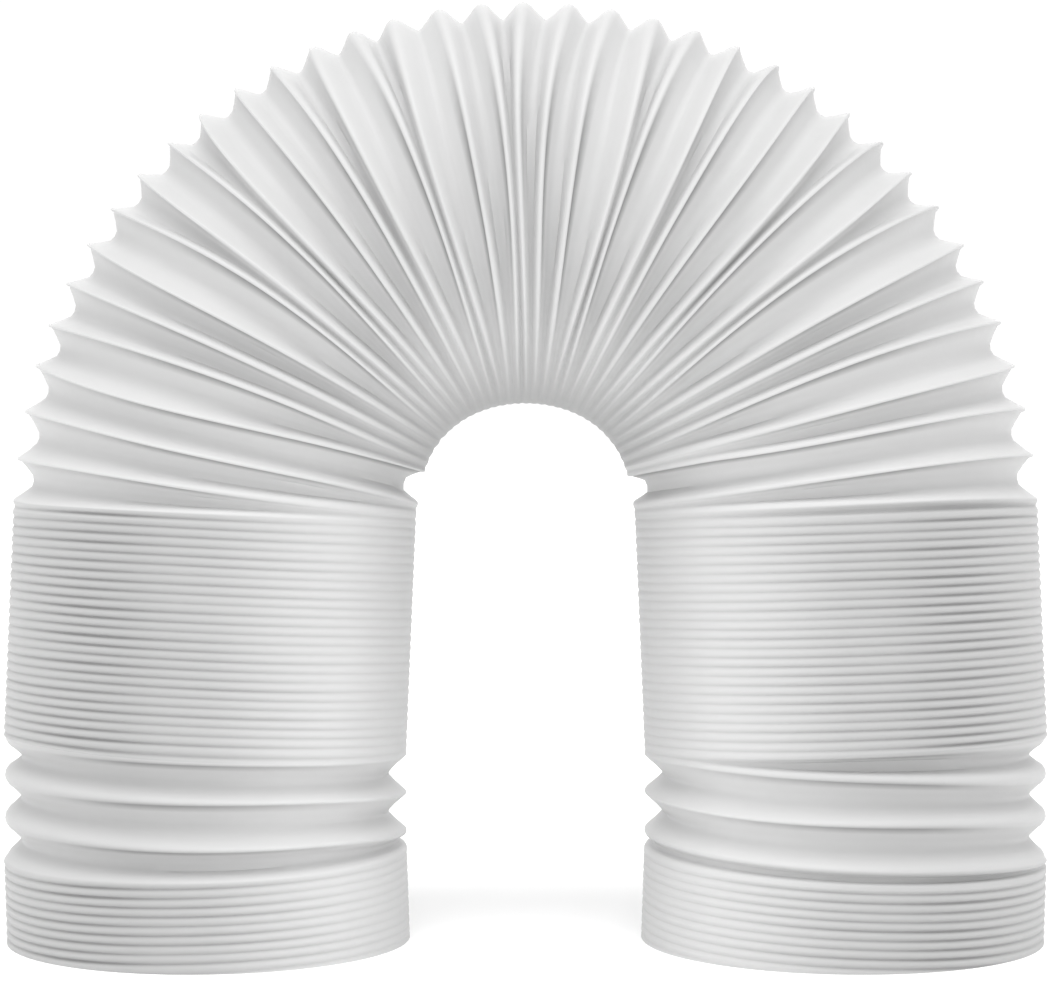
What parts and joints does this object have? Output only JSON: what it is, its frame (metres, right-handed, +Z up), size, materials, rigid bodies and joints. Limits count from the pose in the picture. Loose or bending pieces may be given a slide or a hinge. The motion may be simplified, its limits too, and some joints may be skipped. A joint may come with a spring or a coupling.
{
  "type": "air conditioner exhaust hose",
  "caption": "Flexible corrugated duct hose for a portable air conditioner, bent into an upright arch that stands on its two open ends",
  "frame": {"origin": "on the floor, at the middle of the arch's width and depth, midway between its two open ends", "axes": "+X across the arch from the left end to the right end, +Y to the back, +Z up from the open ends to the crown"},
  "size_m": [0.3888, 0.1562, 0.3524],
  "materials": {
    "polypropylene": "white moulded polypropylene, satin"
  },
  "bodies": {
    "root": {"exhaust_hose": "polypropylene"}
  },
  "joints": []
}
